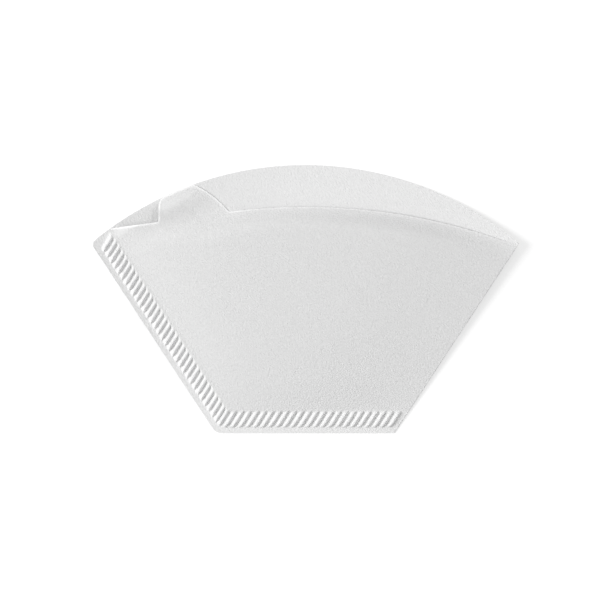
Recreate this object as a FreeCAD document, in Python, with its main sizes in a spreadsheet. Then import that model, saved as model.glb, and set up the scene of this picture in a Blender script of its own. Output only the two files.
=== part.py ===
import FreeCAD, Part
import math
import os

import Sketcher

# A cone-shaped paper coffee filter, folded once and crimped along two sides.
# It lies on its back ply: +X runs across, +Y up to the mouth, +Z out of the table.
# The origin is at the middle of the rest face, halfway between foot and crown.
# All lengths are in millimetres and all angles in degrees.

SIZES = [
    ("mouth_width", "165.2", "between the two upper corners"),
    ("foot_width", "69.3", "between the two lower corners"),
    ("crown_height", "104.2", "from the foot to the top of the back ply"),
    ("shoulder_height", "73.7", "from the foot to the upper corners"),
    ("top_corner_radius", "2", "rounding of the crimped upper corner"),
    ("foot_corner_radius", "4.5", "rounding of the crimped lower corner"),
    ("paper_thickness", "0.18", "one ply of paper"),
    ("seam_bulk", "0.04", "air and loose fibre between the crimped plies"),
    ("seam_width", "8.5", "crimped seam, from the cut edge to the pocket"),
    ("seam_margin", "2.25", "plain edge outside the crimp bars"),
    ("seam_corner_radius", "2.5", "pocket's corner where the two seams meet"),
    ("panel_inset", "1.5", "from the seams to the panel's own faces"),
    ("fold_bevel", "0.15", "softened edges of the folded side"),
    ("front_drop", "16.3", "from the crown down to the front ply's edge"),
    ("front_tip_drop", "1", "front ply's edge below the folded upper corner"),
    ("side_edge_drop", "22.2", "from the crown to the front ply's edge beside the tab"),
    ("side_edge_slope", "9", "front ply's edge between the side seam and the tab"),
    ("tab_left", "57.2", "from the middle to the tab's upright side"),
    ("tab_right", "30.2", "from the middle to the root of the tab's round side"),
    ("tab_corner_radius", "4.5", "tab's upper corner at its upright side"),
    ("tab_shoulder_width", "18", "how far the tab's round side runs in to its top"),
    ("tab_shoulder_radius", "22", "curve of the tab's round side"),
    ("tab_root_radius", "1.5", "inside corner at the root of the tab's round side"),
    ("side_curl", "3", "lift of the crimped upper corner off the table"),
    ("fold_curl", "4", "lift of the folded upper corner off the table"),
    ("side_curl_start", "20", "from the middle to the start of the side seam's curl"),
    ("fold_curl_start", "5", "from the middle to the start of the fold's curl"),
    ("pocket_rise", "4.8", "arch of the front ply at the mouth, above its two sides"),
    ("foot_rise", "2.6", "arch of the front ply just above the foot seam"),
    ("side_puff", "12", "run over which the front ply leaves the side seam"),
    ("foot_puff", "6", "run over which the front ply leaves the foot seam"),
    ("bar_angle", "58", "lean of every crimp bar above the X axis"),
    ("bar_width", "1.5", "crimp bar at its base"),
    ("bar_crest", "0.7", "crimp bar at its crest"),
    ("bar_height", "0.35", "crimp bar above the seam"),
    ("bar_root", "0.12", "how deep a crimp bar is rooted in the seam"),
    ("bar_taper", "0.7", "slope at each end of a crimp bar or groove"),
    ("groove_width", "1.05", "groove behind a crimp bar, at its mouth"),
    ("groove_floor", "0.5", "groove behind a crimp bar, at its floor"),
    ("groove_depth", "0.28", "groove behind a crimp bar"),
    ("groove_inset", "0.5", "groove shorter than its bar, at each end"),
    ("side_pitch", "2.553", "from bar to bar along the side seam"),
    ("foot_pitch", "2.905", "from bar to bar along the foot seam"),
    ("side_first_bar", "4.58", "from the upper corner to the first whole bar"),
    ("foot_first_bar", "1.55", "from the lower corner to the first foot bar"),
    ("side_last_gap", "6", "side seam left without bars at the lower corner"),
    ("foot_last_gap", "2.9", "foot seam left without bars beside the fold"),
    ("cutter_reach", "3", "how far the cutting solids run past the paper"),
    ("contact_sink", "0.03", "how flat the back ply is pressed on the table"),
]

# Stations across each ply, as shares of the way from the side seam to the fold.
ACROSS = [-0.2, -0.1, -0.04, 0, 0.03, 0.06, 0.1, 0.14, 0.19, 0.25, 0.32, 0.4]
ACROSS += [0.5, 0.6, 0.7, 0.8, 0.88, 0.94, 1, 1.06]
# Stations along each ply, as shares of the way from the foot seam to the crown.
ALONG = [-0.13, -0.08, -0.03, 0, 0.025, 0.05, 0.08, 0.12, 0.17, 0.25, 0.35]
ALONG += [0.45, 0.55, 0.65, 0.75, 0.85, 0.95, 1.05]

# Degree of the smooth surfaces.
DEGREE = 3

doc = FreeCAD.newDocument("coffee_filter")
sheet = doc.addObject("Spreadsheet::Sheet", "sizes")
for row, (alias, text, note) in enumerate(SIZES, start=1):
    sheet.set(f"A{row}", text)
    sheet.setAlias(f"A{row}", alias)
    sheet.set(f"B{row}", note)
doc.recompute()

# Places that follow from the driving dimensions, as sheet expressions.
HALF_MOUTH = "(sizes.mouth_width / 2)"
HALF_FOOT = "(sizes.foot_width / 2)"
CROWN_Y = "(sizes.crown_height / 2)"
FOOT_Y = "(-sizes.crown_height / 2)"
CORNER_Y = f"({FOOT_Y} + sizes.shoulder_height)"
LEAN = f"(({HALF_MOUTH} - {HALF_FOOT}) / sizes.shoulder_height)"
SLANT = f"sqrt(1 + {LEAN} ^ 2)"
CROWN_RISE = "(sizes.crown_height - sizes.shoulder_height)"
CROWN_RADIUS = f"(({HALF_MOUTH} ^ 2 + {CROWN_RISE} ^ 2) / (2 * {CROWN_RISE}))"
FRONT_Y = f"({CROWN_Y} - sizes.front_drop)"
FRONT_END_X = f"({HALF_MOUTH} - {LEAN} * sizes.front_tip_drop)"
FRONT_RISE = f"({CROWN_RISE} - sizes.front_drop + sizes.front_tip_drop)"
FRONT_RADIUS = f"(({FRONT_END_X} ^ 2 + {FRONT_RISE} ^ 2) / (2 * {FRONT_RISE}))"
SEAM_TOP_Y = f"({FOOT_Y} + sizes.seam_width)"
OUTER_X = f"({HALF_MOUTH} + sizes.cutter_reach)"
OUTER_Y = f"({CROWN_Y} + sizes.cutter_reach)"
STACK = "(sizes.side_curl + sizes.fold_curl + sizes.pocket_rise + sizes.cutter_reach)"


def size(alias):
    """One driving dimension, read from the sheet."""
    return float(sheet.get(alias))


def place(expression):
    """The number that a sheet expression stands for."""
    return float(sheet.evalExpression(expression))


def point(across, up):
    """A sketch point at two sheet expressions."""
    return FreeCAD.Vector(place(across), place(up), 0)


class Outline:
    """A closed sketch on the table plane, padded upward in a body of its own."""

    def __init__(self, name, floor):
        self.body = doc.addObject("PartDesign::Body", name)
        self.sketch = self.body.newObject("Sketcher::SketchObject", name + "_sketch")
        planes = self.body.Origin.OriginFeatures
        table = next(plane for plane in planes if plane.Role == "XY_Plane")
        self.sketch.AttachmentSupport = [(table, "")]
        self.sketch.MapMode = "FlatFace"
        self.sketch.setExpression("AttachmentOffset.Base.z", floor)
        self.first = None
        self.last = None

    def bind(self, kind, curve, end, expression):
        """One dimension of the sketch, tied to a sheet expression."""
        sketch = self.sketch
        value = place(expression)
        if kind == "Radius":
            rule = Sketcher.Constraint(kind, curve, value)
        else:
            rule = Sketcher.Constraint(kind, -1, 1, curve, end, value)
        index = sketch.addConstraint(rule)
        label = f"{kind}_{curve}_{end}"
        sketch.renameConstraint(index, label)
        sketch.setExpression("Constraints." + label, expression)

    def pin(self, curve, end, across, up):
        """Both coordinates of one end of a curve."""
        self.bind("DistanceX", curve, end, across)
        self.bind("DistanceY", curve, end, up)

    def join(self, curve, start, end):
        """Chains a curve to the one before it. Ends are 1 for start and 2 for end."""
        if self.last is None:
            self.first = (curve, start)
        else:
            rule = Sketcher.Constraint("Coincident", *self.last, curve, start)
            self.sketch.addConstraint(rule)
        self.last = (curve, end)

    def line(self, begin, end):
        """A straight edge from the last point to a pinned one."""
        edge = Part.LineSegment(point(*begin), point(*end))
        curve = self.sketch.addGeometry(edge)
        if self.last is None:
            self.pin(curve, 1, *begin)
        self.join(curve, 1, 2)
        self.pin(curve, 2, *end)

    def close(self, begin, end):
        """A straight edge back to the first point."""
        edge = Part.LineSegment(point(*begin), point(*end))
        curve = self.sketch.addGeometry(edge)
        self.join(curve, 1, 2)
        rule = Sketcher.Constraint("Coincident", *self.last, *self.first)
        self.sketch.addConstraint(rule)

    def arc(self, centre, radius, begin, end, turn):
        """A round edge about a pinned centre. Turn is 1 counter-clockwise, -1 clockwise."""
        middle = point(*centre)
        out = point(*begin) - middle
        back = point(*end) - middle
        angles = [math.atan2(out.y, out.x), math.atan2(back.y, back.x)]
        circle = Part.Circle(middle, FreeCAD.Vector(0, 0, 1), place(radius))
        curve = self.sketch.addGeometry(Part.ArcOfCircle(circle, *angles[::turn]))
        ends = [1, 2][::turn]
        if self.last is None:
            self.bind("DistanceX", curve, ends[0], begin[0])
            self.bind("Radius", curve, 0, radius)
        self.join(curve, *ends)
        self.pin(curve, 3, *centre)
        self.bind("DistanceX", curve, ends[1], end[0])

    def pad(self, height):
        """The solid above the sketch."""
        block = self.body.newObject("PartDesign::Pad", self.body.Name + "_pad")
        block.Profile = self.sketch
        block.setExpression("Length", height)
        doc.recompute()
        return self.body

    def round_upright(self, across, up, radius):
        """Rounds the upright edge that stands at one corner of the outline."""
        corner = point(across, up)
        block = self.body.Tip
        for index, edge in enumerate(block.Shape.Edges, start=1):
            ends = [vertex.Point for vertex in edge.Vertexes]
            if all(math.hypot(e.x - corner.x, e.y - corner.y) < 0.01 for e in ends):
                fillet = self.body.newObject("PartDesign::Fillet", "rounded_corner")
                fillet.Base = (block, [f"Edge{index}"])
                fillet.setExpression("Radius", radius)
                doc.recompute()
                return


def arc_height(apex, radius, across):
    """Height of an arc that peaks on the middle line, at a place across."""
    return f"({apex} - {radius} + sqrt({radius} ^ 2 - ({across}) ^ 2))"


def sheet_block():
    """The cut outline of the folded sheet, as a tall block."""
    outline = Outline("sheet_block", "0")
    foot_left = (f"-{HALF_FOOT}", FOOT_Y)
    foot_right = (HALF_FOOT, FOOT_Y)
    corner_left = (f"-{HALF_MOUTH}", CORNER_Y)
    corner_right = (HALF_MOUTH, CORNER_Y)
    centre = ("0", f"{CROWN_Y} - {CROWN_RADIUS}")
    outline.line(foot_left, foot_right)
    outline.line(foot_right, corner_right)
    outline.arc(centre, CROWN_RADIUS, corner_right, corner_left, 1)
    outline.close(corner_left, foot_left)
    outline.pad(STACK)
    outline.round_upright(*corner_left, "sizes.top_corner_radius")
    outline.round_upright(*foot_left, "sizes.foot_corner_radius")
    return outline.body


def pocket_block():
    """The pocket's plan inside the two seams and the fold, run out past the mouth."""
    outline = Outline("pocket_block", "sizes.paper_thickness")
    seam_side = f"(sizes.seam_width * {SLANT})"
    fold_wall = f"(sizes.paper_thickness * {SLANT})"
    reach = f"({OUTER_Y} - {FOOT_Y})"
    low = f"({HALF_FOOT} + {LEAN} * sizes.seam_width)"
    high = f"({HALF_FOOT} + {LEAN} * {reach})"
    foot_left = (f"{seam_side} - {low}", SEAM_TOP_Y)
    foot_right = (f"{low} - {fold_wall}", SEAM_TOP_Y)
    top_right = (f"{high} - {fold_wall}", OUTER_Y)
    top_left = (f"{seam_side} - {high}", OUTER_Y)
    outline.line(foot_left, foot_right)
    outline.line(foot_right, top_right)
    outline.line(top_right, top_left)
    outline.close(top_left, foot_left)
    outline.pad(STACK)
    outline.round_upright(*foot_left, "sizes.seam_corner_radius")
    return outline.body


def panel_block():
    """Plan of the plain panel inside the two seams, run out past the fold and mouth."""
    outline = Outline("panel_block", "-sizes.cutter_reach")
    margin = "(sizes.seam_width + sizes.panel_inset)"
    side_margin = f"({margin} * {SLANT})"
    low_y = f"({FOOT_Y} + {margin})"
    low = f"({HALF_FOOT} + {LEAN} * {margin})"
    high = f"({HALF_FOOT} + {LEAN} * ({OUTER_Y} - {FOOT_Y}))"
    foot_left = (f"{side_margin} - {low}", low_y)
    foot_right = (f"{OUTER_X} + sizes.cutter_reach", low_y)
    top_right = (f"{OUTER_X} + sizes.cutter_reach", OUTER_Y)
    top_left = (f"{side_margin} - {high}", OUTER_Y)
    outline.line(foot_left, foot_right)
    outline.line(foot_right, top_right)
    outline.line(top_right, top_left)
    outline.close(top_left, foot_left)
    return outline.pad(f"{STACK} + sizes.cutter_reach")


def side_mouth_block():
    """What is cut off the front ply between the side seam and the tab."""
    outline = Outline("side_mouth_block", "sizes.paper_thickness")
    edge_y = f"({CROWN_Y} - sizes.side_edge_drop)"
    fall = f"(({OUTER_X} - sizes.tab_left) * tan(sizes.side_edge_slope))"
    top_x = "(sizes.tab_corner_radius - sizes.tab_left)"
    crown = arc_height(CROWN_Y, CROWN_RADIUS, top_x)
    centre_y = f"({crown} + 3 * sizes.paper_thickness - sizes.tab_corner_radius)"
    outer = (f"-{OUTER_X}", f"{edge_y} - {fall}")
    tab_foot = ("-sizes.tab_left", edge_y)
    tab_side = ("-sizes.tab_left", centre_y)
    tab_top = (top_x, f"{centre_y} + sizes.tab_corner_radius")
    above_tab = (top_x, OUTER_Y)
    outer_top = (f"-{OUTER_X}", OUTER_Y)
    outline.line(outer, tab_foot)
    outline.line(tab_foot, tab_side)
    outline.arc((top_x, centre_y), "sizes.tab_corner_radius", tab_side, tab_top, -1)
    outline.line(tab_top, above_tab)
    outline.line(above_tab, outer_top)
    outline.close(outer_top, outer)
    return outline.pad(STACK)


def front_mouth_block():
    """What is cut off the front ply between the tab and the fold."""
    outline = Outline("front_mouth_block", "sizes.paper_thickness")
    root_y = arc_height(FRONT_Y, FRONT_RADIUS, "sizes.tab_right")
    drop = "sqrt(sizes.tab_shoulder_radius ^ 2 - sizes.tab_shoulder_width ^ 2)"
    top_x = "(-sizes.tab_right - sizes.tab_shoulder_width)"
    centre_y = f"({root_y} - {drop})"
    outer = (OUTER_X, arc_height(FRONT_Y, FRONT_RADIUS, OUTER_X))
    root = ("-sizes.tab_right", root_y)
    tab_top = (top_x, f"{centre_y} + sizes.tab_shoulder_radius")
    above_tab = (top_x, OUTER_Y)
    outer_top = (OUTER_X, OUTER_Y)
    front_centre = ("0", f"{FRONT_Y} - {FRONT_RADIUS}")
    outline.arc(front_centre, FRONT_RADIUS, outer, root, 1)
    outline.arc((top_x, centre_y), "sizes.tab_shoulder_radius", root, tab_top, 1)
    outline.line(tab_top, above_tab)
    outline.line(above_tab, outer_top)
    outline.close(outer_top, outer)
    outline.pad(STACK)
    outline.round_upright(*root, "sizes.tab_root_radius")
    return outline.body


def half_width(up):
    """Half the sheet's width at a height above the foot."""
    return place(HALF_FOOT) + place(LEAN) * up


def lift(distance, start, end):
    """A curl that grows with the cube of the way from its start to the sheet's edge."""
    share = max(0.0, (distance - start) / (end - start))
    return share**3


def back_height(across, up):
    """Underside of the back ply, at a place across and a height above the foot.

    It lies on the table in the middle, and curls up to the side seam and to the fold.
    Both curls fade in a straight line down to the foot, as a bent sheet's do.
    """
    edge = place(HALF_MOUTH)
    spread = across / half_width(up) * edge
    spread = max(-1.05 * edge, min(1.05 * edge, spread))
    side = size("side_curl") * lift(-spread, size("side_curl_start"), edge)
    fold = size("fold_curl") * lift(spread, size("fold_curl_start"), edge)
    return (side + fold) * up / size("shoulder_height") - size("contact_sink")


def leave(distance, run):
    """Share of its height that the front ply has, at a distance from a seam."""
    share = max(0.0, distance / run) ** 3
    return share / (1 + share)


def front_height(across, up):
    """Upper side of the front ply, at a place across and a height above the foot.

    On the seams it lies on the back ply. Over the pocket it spans in an arch from the
    side seam to the fold, which grows from the foot seam to the mouth.
    """
    seam = size("seam_width") * place(SLANT) - half_width(up)
    fold = half_width(up)
    share = (across - seam) / (fold - seam)
    back = back_height(across, up)
    chord = (1 - share) * back_height(seam, up) + share * back_height(fold, up)
    seam_top = size("seam_width")
    way = (up - seam_top) / (size("crown_height") - size("front_drop") - seam_top)
    arch = size("foot_rise") + (size("pocket_rise") - size("foot_rise")) * way
    gap = chord - back + (1 - share) * arch
    gap *= leave(across - seam, size("side_puff")) * leave(up - seam_top, size("foot_puff"))
    return back + 2 * size("paper_thickness") + size("seam_bulk") + gap


def clamped(count):
    """Knots and their counts for a cubic curve that starts and ends on its poles."""
    inner = count - DEGREE - 1
    return list(range(inner + 2)), [DEGREE + 1] + [1] * inner + [DEGREE + 1]


def ply_surface(height, raised):
    """A smooth surface drawn over stations of a height function.

    Every ply uses the same stations across and along, so one ply can't dip into
    another between them.
    """
    seam_top = size("seam_width")
    rows = []
    for along in ALONG:
        up = seam_top + along * (size("crown_height") - seam_top)
        seam = seam_top * place(SLANT) - half_width(up)
        row = []
        for share in ACROSS:
            across = seam + share * (half_width(up) - seam)
            level = height(across, up) + raised
            row.append(FreeCAD.Vector(across, up + place(FOOT_Y), level))
        rows.append(row)
    along_knots, along_counts = clamped(len(ALONG))
    across_knots, across_counts = clamped(len(ACROSS))
    surface = Part.BSplineSurface()
    surface.buildFromPolesMultsKnots(
        rows,
        along_counts,
        across_counts,
        along_knots,
        across_knots,
        False,
        False,
        DEGREE,
        DEGREE,
    )
    return surface


def region(height, raised, direction):
    """Everything above or below one side of a ply, well past the blocks."""
    face = ply_surface(height, raised).toShape()
    return face.extrude(FreeCAD.Vector(0, 0, 2 * direction * place(STACK)))


def fold_cutter(height, side):
    """A bar with a slanted face that takes one long edge off the folded side.

    Side is 1 for the upper edge, and -1 for the lower one.
    """
    bevel = size("fold_bevel")
    reach = size("cutter_reach")
    steep = math.atan(place(LEAN))
    outward = FreeCAD.Vector(math.cos(steep), -math.sin(steep), 0)
    corners = []
    for up in (-reach, size("shoulder_height") + reach):
        across = half_width(up)
        corners.append(FreeCAD.Vector(across, up + place(FOOT_Y), height(across, up)))
    begin, end = corners
    above = FreeCAD.Vector(0, 0, side)
    outer_low = begin + (outward + above) * reach
    outer_high = begin + outward * reach - above * (bevel + reach)
    inner = begin - outward * (bevel + reach) + above * reach
    profile = Part.Face(Part.makePolygon([outer_low, outer_high, inner, outer_low]))
    return profile.extrude(end - begin)


def softened_fold(closed):
    """Takes the two long edges off the folded side."""
    cutters = [fold_cutter(back_height, -1), fold_cutter(front_height, 1)]
    return closed.cut(cutters)


def closed_sheet():
    """The folded sheet before its pocket is opened.

    The crimped band and the plain panel keep faces of their own.
    """
    lying = sheet_block().Shape.common(region(back_height, 0, 1))
    folded = softened_fold(lying.common(region(front_height, 0, -1)))
    panel = panel_block().Shape
    return folded.cut(panel).fuse(folded.common(panel))


def pocket_space():
    """The air between the plies, open at the mouth and around the tab."""
    thickness = size("paper_thickness")
    inside = pocket_block().Shape.common(region(front_height, -thickness, -1))
    opened = inside.fuse([side_mouth_block().Shape, front_mouth_block().Shape])
    return opened.common(region(back_height, thickness, 1))


def bar_stations():
    """Middle, on the table plane, and length of every crimp bar."""
    lean = math.atan(place(LEAN))
    slope = math.radians(size("bar_angle"))
    inset = (size("seam_margin") + size("seam_width")) / 2
    band = size("seam_width") - size("seam_margin")
    along = FreeCAD.Vector(math.cos(slope), math.sin(slope), 0)
    down = FreeCAD.Vector(math.sin(lean), -math.cos(lean), 0)
    inward = FreeCAD.Vector(math.cos(lean), math.sin(lean), 0)
    corner = point(f"-{HALF_MOUTH}", CORNER_Y) + inward * inset
    side_length = band / along.dot(inward)
    foot_length = band / along.y
    first = corner + down * (size("side_first_bar") - size("side_pitch"))
    stations = [(first - along * side_length / 4, side_length / 2)]
    run = size("side_first_bar")
    while run < size("shoulder_height") / math.cos(lean) - size("side_last_gap"):
        stations.append((corner + down * run, side_length))
        run += size("side_pitch")
    across = size("foot_first_bar") - place(HALF_FOOT)
    while across < half_width(inset) - size("foot_last_gap"):
        middle = FreeCAD.Vector(across, place(FOOT_Y) + inset, 0)
        stations.append((middle, foot_length))
        across += size("foot_pitch")
    return along, stations


def bar_shape(length, base, crest, height):
    """A bar with sloping sides and ends, standing on the XZ plane and rooted below it."""
    end = length / 2
    crest_end = end - size("bar_taper")
    root = -size("bar_root")
    sides = (base / 2, crest / 2)
    low = (-end, root, -sides[0], -sides[1], -crest_end)
    high = (end, height, sides[0], sides[1], crest_end)
    return Part.makeWedge(*low, *high)


def crimp_form(length, behind):
    """One crimp: a bar on the front ply, or the groove behind it."""
    if behind:
        short = length - 2 * size("groove_inset")
        sizes = (size("groove_width"), size("groove_floor"), size("groove_depth"))
        return bar_shape(short, *sizes)
    sizes = (size("bar_width"), size("bar_crest"), size("bar_height"))
    return bar_shape(length, *sizes)


def crimps(behind):
    """Every bar on the front ply, or every groove behind one, square to the paper."""
    along, stations = bar_stations()
    surface = ply_surface(back_height, 0)
    seam_thickness = 2 * size("paper_thickness") + size("seam_bulk")
    shapes = []
    for middle, length in stations:
        nearest = surface.parameter(middle)
        under = surface.value(*nearest).z
        normal = surface.normal(*nearest)
        if normal.z < 0:
            normal = -normal
        level = max(under, 0) if behind else under + seam_thickness
        shape = crimp_form(length, behind)
        turn = FreeCAD.Rotation(along, normal, FreeCAD.Vector(), "XYZ")
        base = FreeCAD.Vector(middle.x, middle.y, level)
        shape.Placement = FreeCAD.Placement(base, turn)
        shapes.append(shape)
    return shapes


def filter_paper():
    """The whole filter: one sheet, folded, crimped and open at the mouth."""
    crimped = closed_sheet().fuse(crimps(behind=False))
    opened = crimped.cut(pocket_space())
    grooved = opened.cut(crimps(behind=True))
    node = doc.addObject("Part::Feature", "filter_paper")
    node.Shape = grooved
    return node


def check(node):
    """Stops the build if any object failed, or if the sheet isn't one sound solid."""
    doc.recompute()
    for item in doc.Objects:
        if "Invalid" in item.State or "Error" in item.State:
            raise RuntimeError(f"{item.Label} failed: {item.State}")
    if node.Shape.isNull() or not node.Shape.isValid():
        raise RuntimeError(f"{node.Label} has no sound shape")
    if len(node.Shape.Solids) != 1:
        raise RuntimeError(f"{node.Label} is not one solid")


sheet_node = filter_paper()
check(sheet_node)
os.makedirs("parts", exist_ok=True)
sheet_node.Shape.exportStep(f"parts/{sheet_node.Label}.step")
print(f"{sheet_node.Label}: {sheet_node.Shape.Volume:.1f} cubic mm")
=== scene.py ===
"""A folded, crimped paper coffee filter lying on a pale floor, seen from above."""

import logging
import math
from dataclasses import dataclass, field
from enum import Enum

import bmesh
import bpy
import numpy as np
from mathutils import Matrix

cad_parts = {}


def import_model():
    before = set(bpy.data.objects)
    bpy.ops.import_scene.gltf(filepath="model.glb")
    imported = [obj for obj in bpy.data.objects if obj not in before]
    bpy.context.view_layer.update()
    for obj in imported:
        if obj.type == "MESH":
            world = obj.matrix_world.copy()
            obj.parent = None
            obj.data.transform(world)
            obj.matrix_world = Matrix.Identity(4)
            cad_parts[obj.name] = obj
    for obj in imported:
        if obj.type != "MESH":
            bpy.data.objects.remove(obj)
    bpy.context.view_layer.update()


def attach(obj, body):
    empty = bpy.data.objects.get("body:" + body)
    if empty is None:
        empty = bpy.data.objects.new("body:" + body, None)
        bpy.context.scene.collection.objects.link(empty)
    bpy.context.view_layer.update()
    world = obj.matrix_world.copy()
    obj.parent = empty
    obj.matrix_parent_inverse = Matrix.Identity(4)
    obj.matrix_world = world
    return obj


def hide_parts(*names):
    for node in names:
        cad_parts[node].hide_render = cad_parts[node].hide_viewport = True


LOG = logging.getLogger("coffee_filter")
MM = 0.001
PATH_STEP = 0.2
EVEN_STEP = 0.15
BELL_REACH = 3
ARC_POINTS = 6
TINY = 1e-9

Array = np.ndarray
Pair = tuple[float, float]
Socket = bpy.types.NodeSocket


class Ply(Enum):
    """The two halves of the folded sheet."""

    BACK = "back"
    FRONT = "front"


def smooth(value: Array) -> Array:
    """Soft step from 0 to 1: three squares less two cubes of the clipped value."""
    held = np.clip(value, 0.0, 1.0)
    return held * held * (3.0 - 2.0 * held)


def straight(start: Array, end: Array) -> Array:
    """Points about one step apart on a straight line, in millimetres.

    Args:
        start: First point in the plane.
        end: Last point.

    Returns:
        An array of points by 2.
    """
    count = max(2, int(np.linalg.norm(end - start) / PATH_STEP) + 1)
    share = np.linspace(0.0, 1.0, count)[:, None]
    return start + share * (end - start)


def arc(centre: Array, radius: float, begin: float, end: float) -> Array:
    """Points on an arc: centre plus radius times (cosine, sine) of the angle.

    Args:
        centre: Middle of the arc.
        radius: Its radius in millimetres.
        begin: First angle in radians.
        end: Last angle.

    Returns:
        An array of points by 2.
    """
    count = max(ARC_POINTS, int(abs(end - begin) * radius / PATH_STEP) + 1)
    turn = np.linspace(begin, end, count)
    return centre + radius * np.stack([np.cos(turn), np.sin(turn)], axis=1)


def run_length(path: Array) -> Array:
    """Length along a path up to each of its points."""
    steps = np.linalg.norm(np.diff(path, axis=0), axis=1)
    return np.concatenate([[0.0], np.cumsum(steps)])


def along_path(path: Array, place: Array, places: Array) -> Array:
    """Points of a path where a rising measure of it has the given values.

    Args:
        path: Points by 2.
        place: The measure at each point of the path, rising.
        places: Wanted values of the measure.

    Returns:
        An array of places by 2.
    """
    return np.stack([np.interp(places, place, path[:, axis]) for axis in (0, 1)], axis=1)


@dataclass(frozen=True)
class Plan:
    """The folded filter's outline and seams seen from above, in millimetres."""

    crown_height: float = 104.2
    mouth_width: float = 166.0
    foot_width: float = 69.3
    shoulder_height: float = 73.7
    top_corner_radius: float = 2.0
    foot_corner_radius: float = 4.5
    seam_width: float = 9.3
    seam_corner_radius: float = 2.5
    front_drop: float = 16.3
    front_tip_drop: float = 1.0
    side_edge_drop: float = 22.2
    tab_left: float = 56.9
    tab_right: float = 29.6
    tab_corner_radius: float = 4.8
    tab_corner_drop: float = 0.3
    tab_shoulder_start: float = 46.0
    tab_shoulder_width: float = 28.2
    tab_shoulder_radius: float = 36.0
    tab_crown_gap: float = 0.05
    bar_angle: float = 58.0
    seam_overrun: float = 12.0
    edge_points: int = 600
    edge_softness: float = 0.45

    @property
    def half_mouth(self) -> float:
        """Half the distance between the upper corners."""
        return self.mouth_width / 2

    @property
    def half_foot(self) -> float:
        """Half the distance between the lower corners."""
        return self.foot_width / 2

    @property
    def foot_y(self) -> float:
        """Place of the foot on the Y axis."""
        return -self.crown_height / 2

    @property
    def crown_y(self) -> float:
        """Place of the crown on the Y axis."""
        return self.crown_height / 2

    @property
    def corner_y(self) -> float:
        """Place of both upper corners on the Y axis."""
        return self.foot_y + self.shoulder_height

    @property
    def lean(self) -> float:
        """How far each side runs out for each millimetre up."""
        return (self.half_mouth - self.half_foot) / self.shoulder_height

    @property
    def slant(self) -> float:
        """Length of a side for each millimetre up."""
        return math.hypot(1.0, self.lean)

    @property
    def crown_radius(self) -> float:
        """Radius of the back ply's top, through both corners and the crown."""
        rise = self.crown_y - self.corner_y
        return (self.half_mouth**2 + rise**2) / (2 * rise)

    @property
    def crown_centre(self) -> Array:
        """Middle of the arc of the back ply's top."""
        return np.array([0.0, self.crown_y - self.crown_radius])

    @property
    def side_turn(self) -> float:
        """Angle at which a round corner meets the left side."""
        return math.pi + math.atan(self.lean)

    @property
    def bar_turn(self) -> float:
        """Angle at which a round corner is furthest to the left across the bars."""
        return math.radians(self.bar_angle) + math.pi / 2

    @property
    def half_turn(self) -> float:
        """Half the angle that the cut edge turns through at the foot's corner."""
        return (math.pi / 2 - math.atan(self.lean)) / 2

    @property
    def front_radius(self) -> float:
        """Radius of the front ply's long edge, through its apex and its end at the fold."""
        end = self.half_mouth - self.lean * self.front_tip_drop
        rise = self.crown_y - self.front_drop - self.corner_y + self.front_tip_drop
        return (end**2 + rise**2) / (2 * rise)

    @property
    def across(self) -> Array:
        """Unit vector square to the crimp bars, pointing to the right."""
        angle = math.radians(self.bar_angle)
        return np.array([math.sin(angle), -math.cos(angle)])

    @property
    def along(self) -> Array:
        """Unit vector along the crimp bars, pointing up."""
        angle = math.radians(self.bar_angle)
        return np.array([math.cos(angle), math.sin(angle)])

    def half_width(self, up: Array) -> Array:
        """Half the sheet's width at a height above the foot."""
        return self.half_foot + self.lean * up

    def crown(self, across: Array) -> Array:
        """Height of the back ply's edge: an arc about a point on the middle line."""
        return self.crown_centre[1] + np.sqrt(self.crown_radius**2 - np.square(across))

    def under_crown(self, points: Array) -> Array:
        """How far points lie below the crown's edge."""
        return self.crown(points[..., 0]) - points[..., 1]

    def front(self, across: Array) -> Array:
        """Height of the front ply's long edge: a flatter arc about the middle line."""
        base = self.crown_y - self.front_drop - self.front_radius
        return base + np.sqrt(self.front_radius**2 - np.square(across))

    def from_fold(self, points: Array) -> Array:
        """How far points lie from the fold, square to it."""
        up = points[..., 1] - self.foot_y
        return (self.half_width(up) - points[..., 0]) / self.slant

    def corner_centre(self) -> Array:
        """Centre of the rounded upper corner: its radius inside the side and the crown."""
        inner = self.crown_radius - self.top_corner_radius
        inward = np.array([1.0, self.lean]) / self.slant
        corner = np.array([-self.half_mouth, self.corner_y])
        start = corner + inward * self.top_corner_radius
        down = np.array([self.lean, -1.0]) / self.slant
        reach = start - self.crown_centre
        middle = float(reach @ down)
        slack = math.sqrt(max(0.0, middle**2 - float(reach @ reach) + inner**2))
        return start + down * (-middle - slack)

    def cut_edge(self) -> Array:
        """Crimped cut edge, from the upper corner down the side and along the foot.

        Returns:
            Points by 2, further right across the bars from each to the next.
        """
        centre = self.corner_centre()
        corner = arc(centre, self.top_corner_radius, self.bar_turn, self.side_turn)
        radius = self.foot_corner_radius
        inset = radius * math.tan(self.half_turn)
        foot_centre = np.array([-self.half_foot + inset, self.foot_y + radius])
        foot = arc(foot_centre, radius, self.side_turn, 1.5 * math.pi)
        end = np.array([self.half_foot, self.foot_y])
        side = straight(corner[-1], foot[0])
        return np.concatenate([corner, side[1:], foot[1:], straight(foot[-1], end)[1:]])

    def crown_edge(self) -> Array:
        """Back ply's top edge, from the upper left corner to the folded tip.

        Returns:
            Points by 2, further right across the bars from each to the next.
        """
        centre = self.corner_centre()
        base = self.crown_centre
        out = centre - base
        touch = math.atan2(out[1], out[0])
        corner = arc(centre, self.top_corner_radius, self.bar_turn, touch)
        tip = math.atan2(self.corner_y - base[1], self.half_mouth)
        return np.concatenate([corner, arc(base, self.crown_radius, touch, tip)[1:]])

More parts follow.
